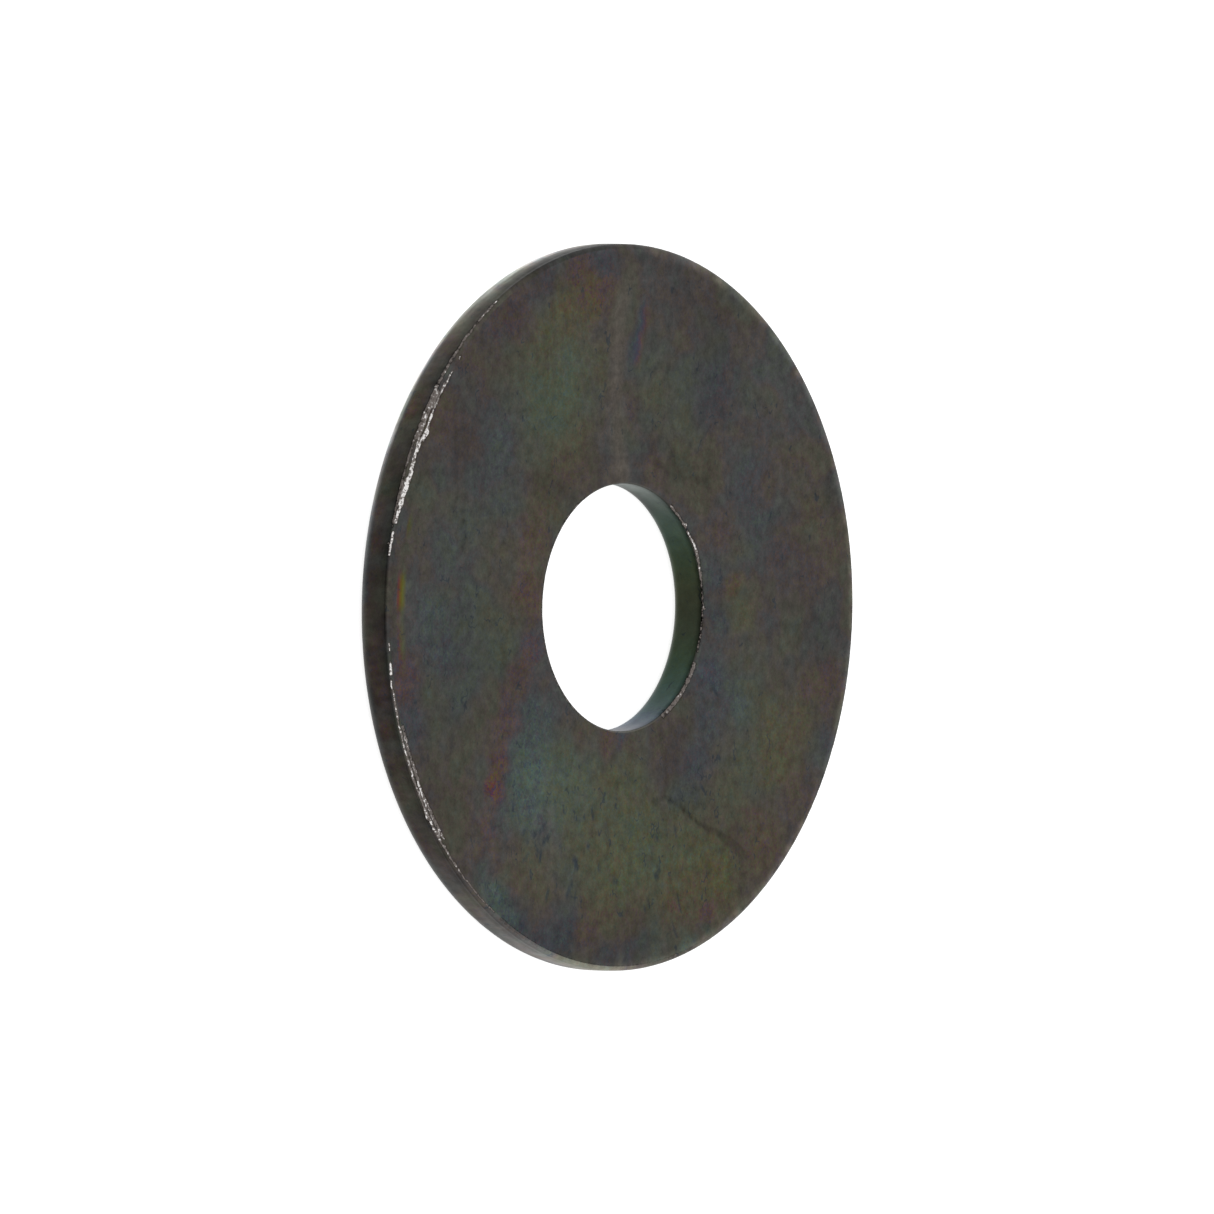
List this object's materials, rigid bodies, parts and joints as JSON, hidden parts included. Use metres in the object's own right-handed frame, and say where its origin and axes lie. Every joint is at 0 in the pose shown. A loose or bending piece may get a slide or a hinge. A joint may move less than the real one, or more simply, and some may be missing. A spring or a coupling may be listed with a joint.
{
  "type": "flat washer",
  "caption": "Flat washer of the large series for an M16 bolt: a wide plain disc with a round central hole, in dark passivated zinc plate.",
  "frame": {"origin": "centre of the lower face, the one with the rolled edges, on the bore's axis", "axes": "+Z along the bore's axis, from the lower face to the upper face; X and Y are any two radii"},
  "size_m": [0.05, 0.05, 0.003],
  "materials": {
    "dark_zinc_plate": "dark passivated zinc plate on steel, satin, with thin-film colours and edges worn bright"
  },
  "bodies": {
    "root": {"washer": "dark_zinc_plate"}
  },
  "joints": []
}
